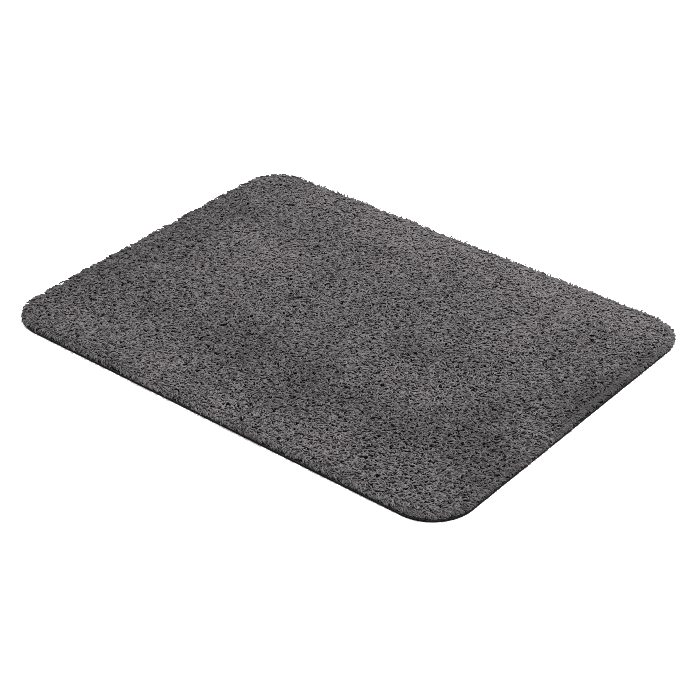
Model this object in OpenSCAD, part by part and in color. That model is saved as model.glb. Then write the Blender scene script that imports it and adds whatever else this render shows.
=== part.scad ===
// Tufted cut-pile bath mat, built up from the floor in its real layers.
// Frame: X along the long side, Y along the short side, Z up.
// Origin: centre of the underside, on the floor. Units: millimetres.

/* [Mat] */
// Length of the mat over the pile
mat_l = 800; // [500:10:1200]
// Width of the mat over the pile
mat_w = 600; // [400:10:900]
// Outline radius of the four corners
corner_r = 66; // [30:1:150]

/* [Layers] */
// Thickness of the non-slip rubber layer
grip_t = 2; // [1.2:0.1:4]
// Thickness of the latex that locks the tufts
coat_t = 0.8; // [0.4:0.1:1.5]
// Thickness of the woven cloth that carries the tufts
cloth_t = 0.7; // [0.4:0.1:1.5]
// Height of the pile above the cloth
pile_h = 8.5; // [8:0.5:20]

/* [Edge] */
// How far the pile bulges out past the layers under it
pile_overhang = 1; // [0.5:0.5:3]
// Radius of the pile's rounded upper edge
pile_shoulder_r = 5; // [2:0.5:5]
// Radius of the pile's rounded lower edge
pile_lip_r = 1; // [0.5:0.25:1]
// How far the overlock yarn reaches in over the cloth
overlock_reach = 6; // [4:0.5:10]
// Thickness of the overlock yarn above the cloth and around its edge
overlock_t = 0.8; // [0.5:0.1:1.2]

/* [Care label] */
// Length of the label
label_l = 60; // [40:1:90]
// Width of the label
label_w = 30; // [21:1:50]
// Thickness of the label's satin tape
label_t = 0.3; // [0.2:0.05:0.5]
// Distance from the label to the mat's short edge
label_from_edge = 45; // [40:1:100]
// Distance from each row of stitches to the label's end
stitch_row_inset = 4; // [3:0.5:8]
// Length of one stitch
stitch_l = 2.6; // [1.5:0.1:2.8]
// Thickness of the sewing thread
thread_t = 0.3; // [0.2:0.05:0.4]
// Number of stitches in a row
stitches_per_row = 7; // [5:1:7]

/* [Hidden] */
$fn = 96;
ARC_STEPS = 8;
SIDES = 4;

// Heights of the layers' upper faces
grip_top = grip_t;
coat_top = grip_top + coat_t;
cloth_top = coat_top + cloth_t;
overlock_top = cloth_top + overlock_t;
pile_top = cloth_top + pile_h;

// Insets of each layer from the pile's outline
grip_inset = pile_overhang;
cloth_inset = grip_inset + overlock_t;
overlock_inner = cloth_inset + overlock_reach;

// Distances between the centres of the corner arcs
straight_l = mat_l - 2 * corner_r;
straight_w = mat_w - 2 * corner_r;

// The label and its stitches fill a shallow pocket, so that the underside stays flat
pocket_depth = label_t + thread_t;
label_x = mat_l / 2 - label_from_edge - label_w / 2;
stitch_pitch = label_w / stitches_per_row;

// The mat's outline, moved inwards by a distance
module outline(inset) {
    r = corner_r - inset;
    square([straight_l + 2 * r, straight_w], center = true);
    square([straight_l, straight_w + 2 * r], center = true);
    for (x = [-1, 1])
        for (y = [-1, 1])
            translate([x * straight_l / 2, y * straight_w / 2])
                circle(r);
}

// A flat layer of the mat between two heights
module layer(inset, bottom, top) {
    translate([0, 0, bottom])
        linear_extrude(top - bottom)
            outline(inset);
}

// Carries a cross-section all the way round the edge.
// The section's x is the distance out from the centre of a corner's arc, and its y is the height.
module around_edge() {
    for (side = [0 : SIDES - 1]) {
        run = side % 2 == 0 ? straight_w : straight_l;
        reach = side % 2 == 0 ? straight_l : straight_w;
        rotate(side * 360 / SIDES)
            translate([reach / 2, run / 2, 0]) {
                rotate_extrude(angle = 360 / SIDES)
                    children();
                rotate([90, 0, 0])
                    linear_extrude(run)
                        children();
            }
    }
}

// Points along an arc, from one angle to another
function arc(centre, r, from, to) = [
    for (i = [0 : ARC_STEPS])
        let (a = from + (to - from) * i / ARC_STEPS)
            centre + r * [cos(a), sin(a)]
];

// Cross-section of the pile's rim: it stands on the cloth, steps over the overlock and bulges outwards
module pile_rim_section() {
    inner = corner_r - overlock_inner;
    polygon(concat(
        [[0, cloth_top], [inner, cloth_top], [inner, overlock_top]],
        arc([corner_r - pile_lip_r, overlock_top + pile_lip_r], pile_lip_r, -90, 0),
        arc([corner_r - pile_shoulder_r, pile_top - pile_shoulder_r], pile_shoulder_r, 0, 90),
        [[0, pile_top]]
    ));
}

// Cross-section of the overlock: yarn under, around and over the cloth's raw edge
module overlock_section() {
    inner = corner_r - overlock_inner;
    cloth_edge = corner_r - cloth_inset;
    outer = corner_r - grip_inset;
    polygon([
        [inner, grip_top],
        [outer, grip_top],
        [outer, overlock_top],
        [inner, overlock_top],
        [inner, cloth_top],
        [cloth_edge, cloth_top],
        [cloth_edge, coat_top],
        [inner, coat_top],
    ]);
}

// A box as large as the care label, raised from the underside
module label_box(bottom, top) {
    translate([label_x - label_w / 2, -label_l / 2, bottom])
        cube([label_w, label_l, top - bottom]);
}

// Non-slip rubber layer: everything above rests on it
module grip_backing() {
    color("#161616")
        difference() {
            layer(grip_inset, 0, grip_top);
            label_box(0, pocket_depth);
        }
}

// Latex that locks the back stitches of the tufts
module lock_coat() {
    color("#b9b3a4")
        layer(overlock_inner, grip_top, coat_top);
}

// Woven cloth that the tufts are stitched through
module primary_backing() {
    color("#8f8c86")
        layer(cloth_inset, coat_top, cloth_top);
}

// Yarn band that binds the cloth's edge
module edge_overlock() {
    color("#4a494b")
        around_edge()
            overlock_section();
}

// The cut tufts, as one soft solid of their outer shape
module tufted_pile() {
    color("#5d5b5c") {
        around_edge()
            pile_rim_section();
        translate([-straight_l / 2, -straight_w / 2, cloth_top])
            cube([straight_l, straight_w, pile_h]);
    }
}

// Blank satin label on the underside
module care_label() {
    color("#e9e7e2")
        label_box(thread_t, pocket_depth);
}

// Two rows of stitches, one across each end of the label
module label_stitching() {
    color("#d8d6d0")
        for (end = [-1, 1])
            for (i = [0 : stitches_per_row - 1])
                translate([
                    label_x - label_w / 2 + (i + 0.5) * stitch_pitch,
                    end * (label_l / 2 - stitch_row_inset),
                    thread_t / 2
                ])
                    cube([stitch_l, thread_t, thread_t], center = true);
}

grip_backing();
lock_coat();
primary_backing();
edge_overlock();
tufted_pile();
care_label();
label_stitching();
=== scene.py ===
"""Bath mat: tufted cut pile, overlocked edge, woven cloth, rubber grip layer and a sewn care label.

Metres, in the frame's own axes: X along the long side, Y along the short side, Z up from the floor.
The pile is made yarn by yarn: each strand is rooted in the cloth, kinks as a twisted yarn does, and
leans with a smooth field of directions, so that light and dark patches come from how the pile lies,
and also from painted light and shade in the strands' colour, which darkens towards the roots as
painted shade.
"""

import math

import bpy
import numpy as np
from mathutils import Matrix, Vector


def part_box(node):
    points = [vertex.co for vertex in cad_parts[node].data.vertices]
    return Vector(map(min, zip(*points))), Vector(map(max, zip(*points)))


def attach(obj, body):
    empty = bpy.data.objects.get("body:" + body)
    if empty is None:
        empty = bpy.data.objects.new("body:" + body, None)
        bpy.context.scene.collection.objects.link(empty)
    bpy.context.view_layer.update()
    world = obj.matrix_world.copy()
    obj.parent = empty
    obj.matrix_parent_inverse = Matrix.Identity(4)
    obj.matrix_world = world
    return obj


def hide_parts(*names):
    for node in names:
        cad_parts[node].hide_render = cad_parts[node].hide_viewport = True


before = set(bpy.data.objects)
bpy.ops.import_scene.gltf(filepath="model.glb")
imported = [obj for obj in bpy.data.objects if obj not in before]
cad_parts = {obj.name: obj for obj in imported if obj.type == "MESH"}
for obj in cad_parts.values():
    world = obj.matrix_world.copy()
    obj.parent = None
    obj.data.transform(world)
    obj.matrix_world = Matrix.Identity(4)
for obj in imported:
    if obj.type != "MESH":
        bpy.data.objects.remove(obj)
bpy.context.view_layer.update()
rng = np.random.default_rng(20)
MM = 0.001
TURN = 2 * math.pi

# ---------------------------------------------------------------- sizes, from the frame

PILE_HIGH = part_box("tufted_pile")[1]
CLOTH_LOW, CLOTH_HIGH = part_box("primary_backing")
OVERLOCK_LOW, OVERLOCK_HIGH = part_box("edge_overlock")
COAT_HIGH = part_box("lock_coat")[1]
GRIP_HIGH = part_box("grip_backing")[1]
LABEL_LOW, LABEL_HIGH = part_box("care_label")
THREAD_LOW, THREAD_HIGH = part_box("label_stitching")

HALF_L = PILE_HIGH.x
HALF_W = PILE_HIGH.y
CORNER_R = 66 * MM
STRAIGHT_L = 2 * (HALF_L - CORNER_R)
STRAIGHT_W = 2 * (HALF_W - CORNER_R)
PERIMETER = 2 * (STRAIGHT_L + STRAIGHT_W) + TURN * CORNER_R
GRIP_INSET = HALF_L - GRIP_HIGH.x
CLOTH_INSET = HALF_L - CLOTH_HIGH.x
TUFT_INSET = HALF_L - COAT_HIGH.x
PILE_HEIGHT = PILE_HIGH.z - CLOTH_HIGH.z


# ---------------------------------------------------------------- camera, floor and light

CAMERA_AZIMUTH = 39.3
CAMERA_ELEVATION = 33.0
CAMERA_DISTANCE = 2.658
CAMERA_TARGET = Vector((0.0462, -0.0499, 0.006))
CAMERA_LENS = 97.0
FLOOR_SIZE = 60.0
FLOOR_COLOUR = (0.97, 0.97, 0.97, 1)
SOFTBOX_PLACE = (0.35, 0.45, 2.8)
SOFTBOX_SIZE = 0.8
SOFTBOX_ENERGY = 230.0
PIXEL_FILTER = 0.85


def make_camera():
    """The camera looks down on the mat from its right front, with one corner nearest."""
    azimuth = math.radians(CAMERA_AZIMUTH)
    elevation = math.radians(CAMERA_ELEVATION)
    back = Vector((
        math.sin(azimuth) * math.cos(elevation),
        -math.cos(azimuth) * math.cos(elevation),
        math.sin(elevation),
    ))
    data = bpy.data.cameras.new("camera")
    data.lens = CAMERA_LENS
    camera = bpy.data.objects.new("camera", data)
    camera.location = CAMERA_TARGET + back * CAMERA_DISTANCE
    camera.rotation_euler = back.to_track_quat("Z", "Y").to_euler()
    bpy.context.scene.collection.objects.link(camera)
    bpy.context.scene.camera = camera


def make_light(name, place, size, energy):
    """A square softbox that faces the mat."""
    data = bpy.data.lights.new(name, "AREA")
    data.size = size
    data.energy = energy
    light = bpy.data.objects.new(name, data)
    light.location = place
    light.rotation_euler = Vector(place).to_track_quat("Z", "Y").to_euler()
    bpy.context.scene.collection.objects.link(light)


def make_stage():
    """A pale floor under an even white studio, with one softbox almost overhead."""
    bpy.ops.mesh.primitive_plane_add(size=FLOOR_SIZE)
    floor = bpy.context.object
    floor.name = "floor"
    shader = Shader("floor_white", 0.9)
    shader.principled.inputs["Base Color"].default_value = FLOOR_COLOUR
    floor.data.materials.append(shader.material)
    world = bpy.data.worlds.new("studio")
    world.use_nodes = True
    world.node_tree.nodes["Background"].inputs["Color"].default_value = (1, 1, 1, 1)
    world.node_tree.nodes["Background"].inputs["Strength"].default_value = 1.0
    scene = bpy.context.scene
    scene.world = world
    make_light("softbox", SOFTBOX_PLACE, SOFTBOX_SIZE, SOFTBOX_ENERGY)
    scene.view_settings.view_transform = "Standard"
    # a crisp studio picture: neighbouring pixels aren't blended, and yarns aren't smoothed away
    scene.cycles.filter_width = PIXEL_FILTER
    scene.cycles.use_denoising = False


# ---------------------------------------------------------------- the mat's outline

def edge_inset(x, y):
    """How far points lie inside the outline, and the outward direction at the nearest edge."""
    qx = np.abs(x) - STRAIGHT_L / 2
    qy = np.abs(y) - STRAIGHT_W / 2
    reach = np.hypot(np.maximum(qx, 0), np.maximum(qy, 0))
    inset = CORNER_R - reach - np.minimum(np.maximum(qx, qy), 0)
    in_corner = (qx > 0) & (qy > 0)
    nx = np.where(in_corner, qx / np.maximum(reach, 1e-9), qx >= qy) * np.sign(x)
    ny = np.where(in_corner, qy / np.maximum(reach, 1e-9), qx < qy) * np.sign(y)
    return inset, nx, ny


def edge_path(count):
    """Evenly spaced points round the outline, with the outward direction at each."""
    runs = [STRAIGHT_W, STRAIGHT_L, STRAIGHT_W, STRAIGHT_L]
    reaches = [STRAIGHT_L, STRAIGHT_W, STRAIGHT_L, STRAIGHT_W]
    arc = CORNER_R * TURN / 4
    distance = (np.arange(count) + 0.5) / count * PERIMETER
    points = np.zeros((count, 2))
    normals = np.zeros((count, 2))
    start = 0.0
    for side, (run, reach) in enumerate(zip(runs, reaches)):
        here = (distance >= start) & (distance < start + run + arc)
        along = distance[here] - start
        turn = np.maximum(along - run, 0) / CORNER_R
        normal = np.stack([np.cos(turn), np.sin(turn)], 1)
        centre = np.stack([np.full(len(along), reach / 2), np.minimum(along, run) - run / 2], 1)
        c, s = math.cos(side * TURN / 4), math.sin(side * TURN / 4)
        spin = np.array([[c, s], [-s, c]])
        points[here] = (centre + CORNER_R * normal) @ spin
        normals[here] = normal @ spin
        start += run + arc
    return points, normals


NOISE_CELLS = 64


def smooth_noise(x, y, cell, seed):
    """Smooth noise from -1 to 1, in features about one cell wide."""
    lattice = np.random.default_rng(seed).uniform(-1, 1, (NOISE_CELLS, NOISE_CELLS))
    gx = x / cell + NOISE_CELLS / 2
    gy = y / cell + NOISE_CELLS / 2
    ix = np.floor(gx).astype(int)
    iy = np.floor(gy).astype(int)
    fx = gx - ix
    fy = gy - iy
    fx = fx * fx * (3 - 2 * fx)
    fy = fy * fy * (3 - 2 * fy)
    left, right = ix % NOISE_CELLS, (ix + 1) % NOISE_CELLS
    low, high = iy % NOISE_CELLS, (iy + 1) % NOISE_CELLS
    near = lattice[left, low] * (1 - fx) + lattice[right, low] * fx
    far = lattice[left, high] * (1 - fx) + lattice[right, high] * fx
    return near * (1 - fy) + far * fy


# ---------------------------------------------------------------- meshes

# a tube's rounded tip is this many radii long, and its side takes this share of its UV cell's height
TIP_LENGTH = 0.9
SIDE_SHARE = 0.9
# the empty margin round a tube's UV cell, as a share of the cell
UV_MARGIN = 0.08


def make_mesh(name, verts, quads, tris=None, uv=None, attributes=None):
    """A smooth mesh object from arrays.

    uv has one point for each corner of the quads, then one for each corner of the triangles.
    """
    tris = np.zeros((0, 3), int) if tris is None else tris
    mesh = bpy.data.meshes.new(name)
    loops = np.concatenate([quads.ravel(), tris.ravel()]).astype(np.int32)
    sizes = np.concatenate([np.full(len(quads), 4), np.full(len(tris), 3)])
    starts = np.concatenate([[0], np.cumsum(sizes)[:-1]]).astype(np.int32)
    mesh.vertices.add(len(verts))
    mesh.vertices.foreach_set("co", verts.astype(np.float32).ravel())
    mesh.loops.add(len(loops))
    mesh.loops.foreach_set("vertex_index", loops)
    mesh.polygons.add(len(sizes))
    mesh.polygons.foreach_set("loop_start", starts)
    mesh.update(calc_edges=True)
    mesh.shade_smooth()
    if uv is not None:
        mesh.uv_layers.new(name="OFBake").uv.foreach_set("vector", uv.astype(np.float32).ravel())
    for key, values in (attributes or {}).items():
        mesh.attributes.new(key, "FLOAT", "POINT").data.foreach_set("value", values.astype(np.float32))
    piece = bpy.data.objects.new(name, mesh)
    bpy.context.scene.collection.objects.link(piece)
    return piece


def tubes(name, lines, normals, wide, thick, twist=0.0, sides=4, tone_and_painted_light=None):
    """Closed yarn tubes along centre lines, as one piece.

    lines and normals are (tube, ring, 3): a tube is wide across its normal and thick along it.
    Each tube gets a cell of its own in the UV layer, with v running from its start to its end.
    """
    count, rings = lines.shape[:2]
    tangent = np.gradient(lines, axis=1)
    tangent /= np.linalg.norm(tangent, axis=2, keepdims=True)
    across = np.cross(tangent, normals)
    across /= np.linalg.norm(across, axis=2, keepdims=True)
    up = np.cross(across, tangent)
    along = np.linspace(0, 1, rings)
    spin = np.arange(sides) * TURN / sides + (np.reshape(twist, (-1, 1)) * along)[..., None]
    spin = np.broadcast_to(spin, (count, rings, sides))[..., None]
    ring = lines[:, :, None] + np.cos(spin) * wide[:, :, None, None] * across[:, :, None]
    ring = ring + np.sin(spin) * thick[:, :, None, None] * up[:, :, None]
    tip = lines[:, -1] + tangent[:, -1] * thick[:, -1:] * TIP_LENGTH
    verts = np.concatenate([ring.reshape(count, -1, 3), tip[:, None]], 1)
    per = verts.shape[1]

    j = np.arange(sides)
    after = (j + 1) % sides
    quads, quad_uv = [], []
    for k in range(rings - 1):
        low, high = k * sides, (k + 1) * sides
        quads.append(np.stack([low + j, low + after, high + after, high + j], 1))
        v0 = np.full(sides, along[k] * SIDE_SHARE)
        v1 = np.full(sides, along[k + 1] * SIDE_SHARE)
        u0, u1 = j / sides, (j + 1) / sides
        quad_uv.append(np.stack([u0, v0, u1, v0, u1, v1, u0, v1], 1))
    last = (rings - 1) * sides
    tris = np.stack([last + j, last + after, np.full(sides, per - 1)], 1)
    end, top = np.full(sides, SIDE_SHARE), np.ones(sides)
    tri_uv = np.stack([j / sides, end, (j + 1) / sides, end, (j + 0.5) / sides, top], 1)
    base = np.stack([np.zeros(sides - 2, int), np.arange(2, sides), np.arange(1, sides - 1)], 1)
    tris = np.concatenate([tris, base])
    tri_uv = np.concatenate([tri_uv, np.tile([0.0, 0.0, 0.1, 0.0, 0.1, 0.02], (len(base), 1))])

    offsets = (np.arange(count) * per)[:, None, None]
    cells = math.ceil(math.sqrt(count))
    cell = np.stack([np.arange(count) % cells, np.arange(count) // cells], 1)[:, None]
    uv = [
        ((cell + UV_MARGIN + (1 - 2 * UV_MARGIN) * corners.reshape(1, -1, 2)) / cells).reshape(-1, 2)
        for corners in (np.concatenate(quad_uv), tri_uv)
    ]
    return make_mesh(
        name,
        verts.reshape(-1, 3),
        (np.concatenate(quads)[None] + offsets).reshape(-1, 4),
        (tris[None] + offsets).reshape(-1, 3),
        np.concatenate(uv),
        {
            "along": np.tile(np.append(np.repeat(along, sides), 1.0), count),
            "tone_and_painted_light": np.repeat(np.zeros(count) if tone_and_painted_light is None else tone_and_painted_light, per),
        },
    )


def grid_parts(rows, columns):
    """Quads of a grid of points, and the points round its rim in order."""
    index = np.arange(rows * columns).reshape(rows, columns)
    corners = [index[:-1, :-1], index[:-1, 1:], index[1:, 1:], index[1:, :-1]]
    rim = np.concatenate([index[0], index[1:, -1], index[-1, -2::-1], index[-2:0:-1, 0]])
    return np.stack(corners, 2).reshape(-1, 4), rim


def slab(name, inset, bottom, top, pitch, under=None, over=None, bevel=0.25 * MM):
    """A closed layer in the mat's outline, with a relief on its two faces and a rounded rim.

    under and over give the height of the lower and upper face at x and y.
    """
    r = CORNER_R - inset - bevel
    corner = np.sin(np.linspace(0, TURN / 4, 1 + round(r * TURN / 4 / (pitch * 1.5)))) * r
    middle = np.linspace(-STRAIGHT_W / 2, STRAIGHT_W / 2, 1 + round(STRAIGHT_W / pitch))
    rows = np.concatenate([-STRAIGHT_W / 2 - corner[:0:-1], middle, STRAIGHT_W / 2 + corner[1:]])
    reach = np.maximum(np.abs(rows) - STRAIGHT_W / 2, 0)
    half = STRAIGHT_L / 2 + np.sqrt(np.maximum(r * r - reach * reach, 0))
    columns = np.linspace(-1, 1, 1 + round(2 * HALF_L / pitch))
    x = half[:, None] * columns
    y = np.broadcast_to(rows[:, None], x.shape)
    faces = []
    for height, relief in ((bottom, under), (top, over)):
        z = np.full(x.shape, height) if relief is None else relief(x, y)
        faces.append(np.stack([x, y, z], 2).reshape(-1, 3))
    face, rim = grid_parts(*x.shape)
    rim_x = x.ravel()[rim]
    rim_y = y.ravel()[rim]
    _, nx, ny = edge_inset(rim_x, rim_y)
    verts = list(faces)
    loops = [rim]
    for z in (bottom + bevel, top - bevel):
        loops.append(sum(len(v) for v in verts) + np.arange(len(rim)))
        verts.append(np.stack([rim_x + nx * bevel, rim_y + ny * bevel, np.full(len(rim), z)], 1))
    loops.append(rim + x.size)
    quads = [face[:, ::-1], face + x.size]
    for low, high in zip(loops, loops[1:]):
        quads.append(np.stack([low, np.roll(low, -1), np.roll(high, -1), high], 1))
    return make_mesh(name, np.concatenate(verts), np.concatenate(quads))


def finish_piece(piece, material, node):
    """Gives a piece its material, and its place in the frame."""
    piece.data.materials.append(material)
    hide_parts(node)
    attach(piece, "root")


# ---------------------------------------------------------------- materials

class Shader:
    """A Principled material, with short ways to add the nodes that drive it."""

    def __init__(self, name, roughness, **settings):
        self.material = bpy.data.materials.new(name)
        self.material.use_nodes = True
        self.tree = self.material.node_tree
        self.principled = self.tree.nodes["Principled BSDF"]
        self.principled.inputs["Roughness"].default_value = roughness
        for socket, value in settings.items():
            self.principled.inputs[socket.replace("_", " ")].default_value = value

    def node(self, kind, inputs, **settings):
        made = self.tree.nodes.new(kind)
        for key, value in settings.items():
            setattr(made, key, value)
        for socket, value in inputs.items():
            if isinstance(value, bpy.types.NodeSocket):
                self.tree.links.new(value, made.inputs[socket])
            else:
                made.inputs[socket].default_value = value
        return made

    def attribute(self, name):
        return self.node("ShaderNodeAttribute", {}, attribute_name=name).outputs["Fac"]

    def place(self, scale=(1, 1, 1)):
        """A point's place on the object, in metres, stretched by scale."""
        point = self.node("ShaderNodeTexCoord", {}).outputs["Object"]
        return self.node("ShaderNodeMapping", {"Vector": point, "Scale": scale}).outputs["Vector"]

    def noise(self, scale, detail=2.0, stretch=(1, 1, 1)):
        inputs = {"Vector": self.place(stretch), "Scale": scale, "Detail": detail}
        return self.node("ShaderNodeTexNoise", inputs).outputs["Fac"]

    def wave(self, scale, direction, distortion=0.0):
        inputs = {"Vector": self.place(), "Scale": scale, "Distortion": distortion}
        return self.node("ShaderNodeTexWave", inputs, bands_direction=direction).outputs["Fac"]

    def range(self, factor, low, high):
        inputs = {"Value": factor, "To Min": low, "To Max": high}
        return self.node("ShaderNodeMapRange", inputs).outputs["Result"]

    def maths(self, operation, a, b):
        return self.node("ShaderNodeMath", {0: a, 1: b}, operation=operation).outputs[0]

    def ramp(self, factor, *stops):
        ramp = self.node("ShaderNodeValToRGB", {"Fac": factor})
        elements = ramp.color_ramp.elements
        for i, (place, colour) in enumerate(stops):
            element = elements[i] if i < 2 else elements.new(place)
            element.position = place
            element.color = (*colour, 1)
        return ramp.outputs["Color"]

    def multiply(self, colour, factor):
        inputs = {0: 1.0, 6: colour, 7: factor}
        return self.node("ShaderNodeMix", inputs, data_type="RGBA", blend_type="MULTIPLY").outputs[2]

    def drive(self, socket, value):
        self.tree.links.new(value, self.principled.inputs[socket])

    def bump(self, height, strength, distance):
        inputs = {"Height": height, "Strength": strength, "Distance": distance}
        self.drive("Normal", self.node("ShaderNodeBump", inputs).outputs["Normal"])


# the yarn's tint, and the pile's colour at the tip and at the root of a strand, where the root's
# darkening is painted shade
CHARCOAL = np.array([1.0, 0.932, 0.951])
YARN_TIP = CHARCOAL * 0.0645
YARN_ROOT_PAINTED_SHADE = YARN_TIP * 0.15


def pile_material():
    """Charcoal yarn, darkened towards the root as painted shade, a little different from strand to
    strand, and painted lighter in flatter pile and darker along the edge.
    """
    shader = Shader("pile_yarn", 0.85, Sheen_Weight=0.08, Sheen_Roughness=0.5, Specular_IOR_Level=0.06)
    # painted shade: the colour darkens from the tip down to the root, deep in the pile
    body = shader.ramp(
        shader.attribute("along"), (0.0, YARN_ROOT_PAINTED_SHADE), (0.6, YARN_TIP * 0.85), (1.0, YARN_TIP)
    )
    # the strand's random tone, together with its painted light in flat pile and painted shade along
    # the edge
    strand = shader.range(shader.attribute("tone_and_painted_light"), 0.42, 1.58)
    fibres = shader.range(shader.noise(900.0, 3.0), 0.8, 1.2)
    shader.drive("Base Color", shader.multiply(shader.multiply(body, strand), fibres))
    shader.drive("Roughness", shader.range(shader.noise(500.0), 0.78, 0.95))
    shader.bump(shader.noise(1800.0, 2.0), 0.4, 0.15 * MM)
    return shader.material


def overlock_material():
    """The same charcoal in a finer, darker serging yarn."""
    shader = Shader("overlock_yarn", 0.8, Specular_IOR_Level=0.06)
    strand = shader.range(shader.attribute("tone_and_painted_light"), 0.8, 1.2)
    fibres = shader.ramp(shader.noise(1500.0, 3.0), (0.3, CHARCOAL * 0.009), (0.7, CHARCOAL * 0.022))
    shader.drive("Base Color", shader.multiply(fibres, strand))
    shader.drive("Roughness", shader.range(shader.noise(700.0), 0.7, 0.9))
    shader.bump(shader.noise(2500.0, 2.0), 0.3, 0.1 * MM)
    return shader.material


def cloth_material():
    """Plain-woven backing cloth, seen only between the tufts."""
    shader = Shader("backing_cloth", 0.9)
    weave = shader.maths("MULTIPLY", shader.wave(160.0, "X", 0.3), shader.wave(160.0, "Y", 0.3))
    shader.drive("Base Color", shader.ramp(weave, (0.0, CHARCOAL * 0.02), (1.0, CHARCOAL * 0.05)))
    shader.drive("Roughness", shader.range(weave, 0.85, 0.95))
    shader.bump(weave, 0.5, 0.3 * MM)
    return shader.material


def latex_material():
    """Cured latex, cloudy and a little uneven."""
    shader = Shader("lock_latex", 0.6)
    cloud = shader.noise(60.0, 4.0)
    cream = shader.ramp(cloud, (0.3, (0.36, 0.33, 0.27)), (0.7, (0.50, 0.47, 0.40)))
    shader.drive("Base Color", cream)
    shader.drive("Roughness", shader.range(shader.noise(200.0), 0.5, 0.7))
    shader.bump(shader.noise(400.0, 3.0), 0.3, 0.2 * MM)
    return shader.material


def rubber_material():
    """Matt black grip rubber with a fine grain, a little dusty in places."""
    shader = Shader("grip_rubber", 0.6, Specular_IOR_Level=0.05)
    dust = shader.noise(90.0, 5.0)
    black = shader.ramp(dust, (0.35, (0.003, 0.003, 0.003)), (0.75, (0.007, 0.007, 0.007)))
    shader.drive("Base Color", black)
    shader.drive("Roughness", shader.range(shader.noise(300.0, 3.0), 0.45, 0.7))
    shader.bump(shader.noise(1200.0, 2.0), 0.35, 0.15 * MM)
    return shader.material


def label_material():
    """White satin tape with its fine ribs across."""
    shader = Shader("label_satin", 0.4, Sheen_Weight=0.3)
    ribs = shader.wave(700.0, "Y")
    white = shader.ramp(shader.noise(250.0), (0.3, (0.74, 0.73, 0.70)), (0.7, (0.82, 0.81, 0.78)))
    shader.drive("Base Color", white)
    shader.drive("Roughness", shader.range(ribs, 0.35, 0.5))
    shader.bump(ribs, 0.4, 0.1 * MM)
    return shader.material


def thread_material():
    """Pale polyester sewing thread."""
    shader = Shader("sewing_thread", 0.5, Sheen_Weight=0.2)
    ply = shader.noise(3000.0, 2.0)
    pale = shader.ramp(ply, (0.3, (0.55, 0.53, 0.49)), (0.7, (0.72, 0.70, 0.66)))
    shader.drive("Base Color", pale)
    shader.drive("Roughness", shader.range(ply, 0.4, 0.6))
    shader.bump(ply, 0.3, 0.05 * MM)
    return shader.material


# ---------------------------------------------------------------- pile

# one strand is one cut yarn, and two strands stand in each tuft
STRAND_R = 1.0 * MM
STRAND_R_SPREAD = 0.12
STRAND_LENGTH = 1.75 * PILE_HEIGHT
STRAND_LENGTH_SPREAD = 0.08
SEGMENTS = 5
STRANDS_PER_PIECE = 4300
STRANDS_PER_TUFT = 2
# needle rows of the field, and how far a tuft stands out of its row, as a share of the pitch
TUFT_PITCH = 3.9 * MM
TUFT_JITTER = 0.1
ROOT_JITTER = 0.6 * MM
# closer rows of strands that fill the edge
EDGE_ROWS = 5
EDGE_PITCH = 1.9 * MM
EDGE_ROW_PITCH = 1.2 * MM
# how far a strand bends from one segment to the next, and how far its heading strays, in radians
LEAN_KINK = 0.25
TURN_KINK = 0.42
HEADING_SPREAD = 0.4
# a strand's lean from upright at its root and tip, in degrees, how much more it leans in flat pile
# and where it is combed over the edge, and how much strands differ
ROOT_LEAN, ROOT_LEAN_FLAT, ROOT_LEAN_EDGE, ROOT_LEAN_SPREAD = 15, 10, 45, 8
TIP_LEAN, TIP_LEAN_FLAT, TIP_LEAN_EDGE, TIP_LEAN_SPREAD = 88, 12, 35, 12
# painted light and shade: how much lighter the strands' colour is painted in flat pile, and how much
# lighter along the edge, where the negative amount paints shade; 1 is the whole range of tones
PAINTED_LIGHT_FLAT = 0.3
PAINTED_SHADE_EDGE = -0.3
# how wide the band along the edge is where the pile is combed round the mat, how wide its rounded
# shoulder is, and the share of the pile's height that the shoulder starts at
COMBED = 9 * MM
SHOULDER = 10 * MM
SHOULDER_START = 0.4
# how far clumps of strands stick out or up at the edge, and how much single strands do
CLUMP_OUT = 0.2 * MM
CLUMP_UP = 0.03
EDGE_UNEVEN = 0.15 * MM
# strand ends that rise past this share of the pile's height are pressed down smoothly
SOFT_LIMIT = 0.6
# how far inside the outline the pile stops, at places from the back corner to the front corner
# (see front_of), and how much further out it reaches along the mat's right side
FRONT = [-0.5, 0.0, 0.5, 1.6, 1.85]
FRONT_GAP = [-1.0 * MM, -0.4 * MM, 0.0, 0.6 * MM, 1.6 * MM]
RIGHT_REACH = 0.5 * MM
# lowest height of strand centres over the rubber layer and over the overlocked edge, and how much
# higher they all stay once they have left their roots
OVER_GRIP = 0.8 * MM
OVER_STITCHES = 0.9 * MM
OVER_ROOT = 0.5 * MM
# how far the field's roots keep from the edge of the tufted cloth, and how far outside that edge
# strands begin to pass over the overlock
ROOT_MARGIN = 1 * MM
# widths of the soft random changes: broad and narrow swirls of the pile's heading, patches of
# flatter pile, clumps at the edge, and places where the comb pulled further outwards
BROAD_SWIRL = 0.11
NARROW_SWIRL = 0.035
FLAT_PATCH = 0.05
EDGE_CLUMP = 0.011
COMB_PATCH = 0.018


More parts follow.
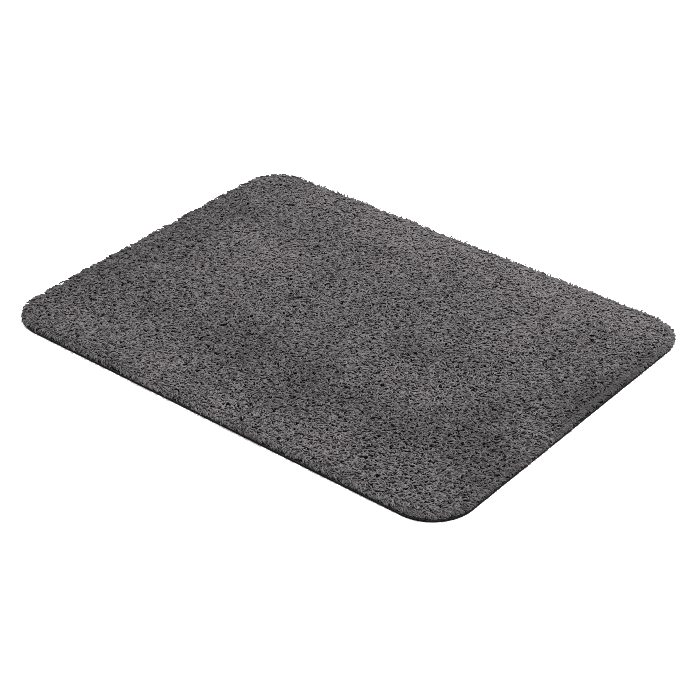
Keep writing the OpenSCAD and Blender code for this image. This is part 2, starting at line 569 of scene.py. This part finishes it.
def strand_lines(root, heading, lean_root, lean_tip, length, calm):
    """Centre lines of strands that rise, kink and bend over towards their headings.

    A calm of 0 gives a strand its full kinks, and 1 gives it none.
    """
    count = len(root)
    steps = (np.arange(SEGMENTS) + 0.5) / SEGMENTS
    lean = lean_root[:, None] + (lean_tip - lean_root)[:, None] * steps
    kink = 1 - calm[:, None]
    lean = lean + rng.normal(0, LEAN_KINK, (count, SEGMENTS)) * kink
    turn = heading[:, None] + np.cumsum(rng.normal(0, TURN_KINK, (count, SEGMENTS)), 1) * kink
    moves = np.stack([np.sin(lean) * np.cos(turn), np.sin(lean) * np.sin(turn), np.cos(lean)], 2)
    moves *= (length / SEGMENTS)[:, None, None]
    return np.concatenate([root[:, None], root[:, None] + np.cumsum(moves, 1)], 1)


# places where the pile was pressed flatter, or brushed up where the amount is negative, and where the
# strands' colour is also painted lighter or darker as painted light and shade: the middle's x and y,
# how far it reaches in x and in y, and the amount
PRESSED = [
    (0.10, 0.27, 0.40, 0.06, 1.2),
    (0.05, -0.15, 0.40, 0.05, -0.9),
    (-0.36, 0.00, 0.04, 0.25, -0.9),
    (0.41, 0.10, 0.05, 0.13, -1.8),
    (0.34, -0.14, 0.08, 0.04, -0.8),
    (0.36, 0.04, 0.04, 0.04, -0.7),
    (-0.08, -0.10, 0.05, 0.04, -0.5),
    (0.10, 0.00, 0.07, 0.03, -0.5),
    (0.30, -0.06, 0.03, 0.05, -0.9),
    (0.20, 0.10, 0.05, 0.03, 0.5),
    (-0.19, 0.07, 0.07, 0.06, 0.5),
    (0.20, -0.07, 0.04, 0.04, 0.6),
    (0.38, -0.07, 0.03, 0.04, 0.3),
    (0.05, -0.29, 0.40, 0.04, 0.4),
]


def lay(x, y):
    """Heading in which the pile lies, in radians, and how flat it lies: 0 is usual, 1 is flat."""
    heading = -0.55 - 0.5 * (x + y)
    heading = heading + 0.6 * smooth_noise(x, y, BROAD_SWIRL, 1)
    heading = heading + 0.5 * smooth_noise(x, y, NARROW_SWIRL, 2)
    flatness = 0.4 * smooth_noise(x, y, FLAT_PATCH, 4)
    for middle_x, middle_y, reach_x, reach_y, amount in PRESSED:
        away = ((x - middle_x) / reach_x) ** 2 + ((y - middle_y) / reach_y) ** 2
        flatness = flatness + amount * np.exp(-away)
    return heading, flatness


def field_roots():
    """Roots of the field's strands, in needle rows that are a little uneven."""
    nx = round(2 * HALF_L / TUFT_PITCH)
    ny = round(2 * HALF_W / TUFT_PITCH)
    rows = np.meshgrid((np.arange(nx) + 0.5) / nx * 2 - 1, (np.arange(ny) + 0.5) / ny * 2 - 1)
    tufts = np.stack([rows[0].ravel() * HALF_L, rows[1].ravel() * HALF_W], 1)
    tufts = tufts + rng.uniform(-TUFT_JITTER, TUFT_JITTER, tufts.shape) * TUFT_PITCH
    tufts = tufts[edge_inset(*tufts.T)[0] > TUFT_INSET + ROOT_MARGIN]
    return np.repeat(tufts, STRANDS_PER_TUFT, axis=0)


def edge_roots():
    """Roots of the closer rows that fill the edge."""
    points, normals = edge_path(round(PERIMETER / EDGE_PITCH))
    rows = [points - normals * (TUFT_INSET + row * EDGE_ROW_PITCH) for row in range(EDGE_ROWS)]
    return np.concatenate(rows)


def front_of(x, y):
    """Nearly 2 at the mat's front corner, nearly -2 at its back corner, and 0 at the other two."""
    return x / HALF_L - y / HALF_W


def tame_edge(lines):
    """Bends strands that pass the edge down over it, so that the mat has a rounded shoulder."""
    count = len(lines)
    x, y, z = lines[..., 0], lines[..., 1], lines[..., 2]
    inset, nx, ny = edge_inset(x, y)
    clump = smooth_noise(x[:, :1], y[:, :1], EDGE_CLUMP, 5)
    gap = np.interp(front_of(x, y), FRONT, FRONT_GAP) - RIGHT_REACH * np.clip(nx, 0, 1)
    gap = gap + CLUMP_OUT * clump + rng.normal(0, EDGE_UNEVEN, (count, 1))
    over = np.maximum(gap - inset, 0)
    x = x - nx * over
    y = y - ny * over
    inset = inset + over
    rise = np.clip(inset / SHOULDER, 0, 1)
    round_off = SHOULDER_START + (1 - SHOULDER_START) * np.sqrt(1 - (1 - rise) ** 2)
    crown = PILE_HEIGHT * round_off * (1 + CLUMP_UP * clump)
    crown = crown + rng.normal(0, EDGE_UNEVEN, (count, 1))
    height = (z - CLOTH_HIGH.z) / crown
    spare = 1 - SOFT_LIMIT
    pressed = SOFT_LIMIT + spare * np.tanh((height - SOFT_LIMIT) / spare)
    height = np.where(height > SOFT_LIMIT, pressed, height)
    z = CLOTH_HIGH.z + height * crown
    over_cloth = inset > TUFT_INSET - ROOT_MARGIN
    floor = np.where(over_cloth, CLOTH_HIGH.z, OVERLOCK_HIGH.z + OVER_STITCHES)
    floor = np.where(inset < GRIP_INSET - STRAND_R, GRIP_HIGH.z + OVER_GRIP, floor)
    z = np.maximum(z, floor + OVER_ROOT * (np.arange(lines.shape[1]) > 0))
    return np.stack([x, y, z], 2)


def make_pile():
    """All strands of the pile, in bands that each stay a mesh of modest size."""
    roots = np.concatenate([field_roots(), edge_roots()])
    x, y = roots.T
    heading, flatness = lay(x, y)
    roots = roots + rng.normal(0, ROOT_JITTER, roots.shape)
    x, y = roots.T
    count = len(roots)
    inset, nx, ny = edge_inset(x, y)
    # near the edge the pile is combed along it, and a little outwards
    pull = np.clip(1 - (inset - TUFT_INSET) / COMBED, 0, 1)
    outward = np.interp(front_of(x, y), [-1, 0.5], [0.2, 0.45])
    outward = outward * (1 + 0.8 * smooth_noise(x, y, COMB_PATCH, 6))
    comb_x = -ny + outward * nx
    comb_y = nx + outward * ny
    heading = np.arctan2(
        np.sin(heading) * (1 - pull) + comb_y * pull,
        np.cos(heading) * (1 - pull) + comb_x * pull,
    )
    heading = heading + rng.normal(0, HEADING_SPREAD, count) * (1 - 0.3 * pull)
    lean_root = ROOT_LEAN + ROOT_LEAN_FLAT * flatness + rng.normal(0, ROOT_LEAN_SPREAD, count)
    lean_root = np.radians(lean_root + ROOT_LEAN_EDGE * pull * rng.uniform(0, 1, count))
    lean_tip = TIP_LEAN + TIP_LEAN_FLAT * flatness
    lean_tip = lean_tip + rng.normal(0, TIP_LEAN_SPREAD, count) * (1 - 0.5 * pull)
    lean_tip = np.radians(lean_tip + TIP_LEAN_EDGE * pull)
    length = STRAND_LENGTH * rng.normal(1, STRAND_LENGTH_SPREAD, count) * (1 - 0.1 * pull)
    root = np.column_stack([roots, np.full(count, CLOTH_HIGH.z)])
    lines = tame_edge(strand_lines(root, heading, lean_root, lean_tip, length, 0.45 * pull))
    radius = STRAND_R * np.clip(rng.normal(1, STRAND_R_SPREAD, count), 0.7, 1.3)
    taper = np.interp(np.linspace(0, 1, SEGMENTS + 1), [0, 0.4, 0.8, 1], [0.75, 1.0, 1.0, 0.6])
    radius = radius[:, None] * taper
    twist = rng.uniform(2.5, 5.0, count) * rng.choice([-1, 1], count)
    # a random tone for each strand, plus painted light on flatter pile and painted shade along the
    # combed edge
    tone_and_painted_light = rng.uniform(0, 1, count) + PAINTED_LIGHT_FLAT * flatness + PAINTED_SHADE_EDGE * pull
    normals = np.broadcast_to([0.02, 0.01, 1.0], lines.shape)
    material = pile_material()
    order = np.argsort(y, kind="stable")
    bands = np.array_split(order, math.ceil(count / STRANDS_PER_PIECE))
    for i, band in enumerate(bands, 1):
        r = radius[band]
        name = f"pile_band_{i:02d}"
        piece = tubes(name, lines[band], normals[band], r, r, twist[band], tone_and_painted_light=tone_and_painted_light[band])
        finish_piece(piece, material, "tufted_pile")


# ---------------------------------------------------------------- the layers under the pile

def dress_lock_coat():
    """The latex coat keeps its plain CAD shape and gets its own material."""
    material = latex_material()
    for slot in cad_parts["lock_coat"].material_slots:
        slot.link = "OBJECT"
        slot.material = material


GRIP_PITCH = 12.8 * MM
GRIP_DEPTH = 0.9 * MM
LABEL_CLEARANCE = 0.02 * MM
LABEL_MARGIN = 3 * MM


def make_grip():
    """Black rubber layer: moulded studs underneath, and a pressed-in place for the label."""
    ceiling = LABEL_HIGH.z + LABEL_CLEARANCE

    def under(x, y):
        studs = np.cos(TURN * x / GRIP_PITCH) * np.cos(TURN * y / GRIP_PITCH)
        z = GRIP_DEPTH * (0.5 - 0.5 * studs)
        past_ends = np.maximum(LABEL_LOW.x - x, x - LABEL_HIGH.x)
        past_label = np.maximum(past_ends, np.abs(y) - LABEL_HIGH.y)
        return np.where(past_label < LABEL_MARGIN, np.maximum(z, ceiling), z)

    piece = slab("grip_rubber_layer", GRIP_INSET, 0.0, GRIP_HIGH.z, GRIP_PITCH / 4, under=under)
    finish_piece(piece, rubber_material(), "grip_backing")


DIMPLE_DEPTH = 0.06 * MM
DIMPLE_PITCH = 3 * TUFT_PITCH


def make_cloth():
    """The woven cloth, softly dimpled where the rows of tufts pull on it."""
    def dimples(x, y):
        return DIMPLE_DEPTH * (np.cos(TURN * x / DIMPLE_PITCH) * np.cos(TURN * y / DIMPLE_PITCH) - 1)

    low = CLOTH_LOW.z
    high = CLOTH_HIGH.z
    piece = slab(
        "backing_cloth_sheet", CLOTH_INSET, low, high, TUFT_PITCH,
        under=lambda x, y: low - dimples(x, y), over=lambda x, y: high + dimples(x, y),
    )
    finish_piece(piece, cloth_material(), "primary_backing")


STITCH_PITCH = 1.7 * MM
OVERLOCK_R = 0.4 * MM
STITCH_WOBBLE = 0.1 * MM
# half the width of a stitch as a share of the pitch, so that neighbours just touch
STITCH_COVER = 0.52
# how far a stitch is pulled down at its inner end, and how far it rises in its middle
STITCH_TUCK = 0.2 * MM
STITCH_RISE = 0.1 * MM
BEND_RINGS = 5


def make_overlock():
    """Satin stitches of serging yarn, each wrapped over, round and under the cloth's edge."""
    points, normals = edge_path(round(PERIMETER / STITCH_PITCH))
    tangents = np.stack([-normals[:, 1], normals[:, 0]], 1)
    count = len(points)
    high = OVERLOCK_HIGH.z - OVERLOCK_R
    low = OVERLOCK_LOW.z + OVERLOCK_R
    outer = GRIP_INSET + OVERLOCK_R
    bend = (high - low) / 2
    turn = np.linspace(TURN / 4, -TURN / 4, BEND_RINGS)
    inner = TUFT_INSET - OVERLOCK_R
    halfway = (inner + outer + bend) / 2
    section = np.concatenate([
        [[inner, high - STITCH_TUCK], [halfway, high + STITCH_RISE]],
        np.stack([outer + bend * (1 - np.cos(turn)), (high + low) / 2 + bend * np.sin(turn)], 1),
        [[halfway, low], [inner, low]],
    ])
    facing = np.concatenate([
        [[0, 1], [0, 1]], np.stack([np.cos(turn), np.sin(turn)], 1), [[0, -1], [0, -1]],
    ])
    slant = np.linspace(0.5, -0.5, len(section)) * STITCH_PITCH
    wobble = rng.normal(0, STITCH_WOBBLE, (count, len(section)))
    flat = points[:, None] - normals[:, None] * section[None, :, :1]
    flat = flat + tangents[:, None] * (slant + wobble)[..., None]
    heights = np.broadcast_to(section[None, :, 1:], (count, len(section), 1))
    lines = np.concatenate([flat, heights], 2)
    rises = np.broadcast_to(facing[None, :, 1:], (count, len(section), 1))
    out = np.concatenate([normals[:, None] * facing[None, :, :1], rises], 2)
    wide = np.full((count, len(section)), STITCH_PITCH * STITCH_COVER)
    thick = np.full((count, len(section)), OVERLOCK_R)
    piece = tubes("overlock_stitches", lines, out, wide, thick, sides=6, tone_and_painted_light=rng.uniform(0, 1, count))
    finish_piece(piece, overlock_material(), "edge_overlock")


LABEL_COLUMNS = 31
LABEL_ROWS = 61
PUCKER_DEPTH = 0.03 * MM
PUCKER_X = 9 * MM
PUCKER_Y = 13 * MM
LABEL_OFF_FLOOR = 0.05 * MM


def make_label():
    """The blank satin label, very slightly puckered by its two rows of stitches."""
    low = np.array(LABEL_LOW)
    high = np.array(LABEL_HIGH)
    columns = np.linspace(low[0], high[0], LABEL_COLUMNS)
    x, y = np.meshgrid(columns, np.linspace(low[1], high[1], LABEL_ROWS))
    pucker = PUCKER_DEPTH * np.sin(TURN * x / PUCKER_X) * np.cos(TURN * y / PUCKER_Y)
    lower = np.stack([x, y, low[2] + LABEL_OFF_FLOOR + pucker], 2).reshape(-1, 3)
    upper = np.stack([x, y, high[2] - PUCKER_DEPTH + pucker], 2).reshape(-1, 3)
    face, rim = grid_parts(*x.shape)
    wall = np.stack([rim, np.roll(rim, -1), np.roll(rim, -1) + x.size, rim + x.size], 1)
    quads = np.concatenate([face[:, ::-1], face + x.size, wall])
    piece = make_mesh("care_label_tape", np.concatenate([lower, upper]), quads)
    finish_piece(piece, label_material(), "care_label")


# the number of stitches in a row, and the length of one
LABEL_STITCHES = 7
LABEL_STITCH_LENGTH = 2.6 * MM
LABEL_STITCH_RINGS = 7
# how much higher the ends of a stitch lie than its middle, where they go up into the rubber, in radii
STITCH_BOW = 0.6


def make_label_stitches():
    """Two rows of thread stitches across the label's ends."""
    radius = (THREAD_HIGH.z - THREAD_LOW.z) / 2
    width = LABEL_HIGH.x - LABEL_LOW.x
    steps = np.linspace(-0.5, 0.5, LABEL_STITCH_RINGS)
    row_steps = np.ones(LABEL_STITCH_RINGS)
    lines = []
    for row in (THREAD_LOW.y + radius, THREAD_HIGH.y - radius):
        for i in range(LABEL_STITCHES):
            middle = LABEL_LOW.x + (i + 0.5) * width / LABEL_STITCHES
            bow = radius * (1.0 + STITCH_BOW * (2 * steps) ** 4)
            along = middle + steps * LABEL_STITCH_LENGTH
            lines.append(np.stack([along, row * row_steps, bow], 1))
    lines = np.array(lines)
    taper = np.interp(steps, [-0.5, -0.3, 0.3, 0.5], [0.6, 1, 1, 0.6])
    r = np.broadcast_to(taper * radius, lines.shape[:2])
    normals = np.broadcast_to([0.0, 0.0, 1.0], lines.shape)
    piece = tubes("label_stitches", lines, normals, r, r, sides=8)
    finish_piece(piece, thread_material(), "label_stitching")


make_camera()
make_stage()
dress_lock_coat()
make_grip()
make_cloth()
make_overlock()
make_label()
make_label_stitches()
make_pile()
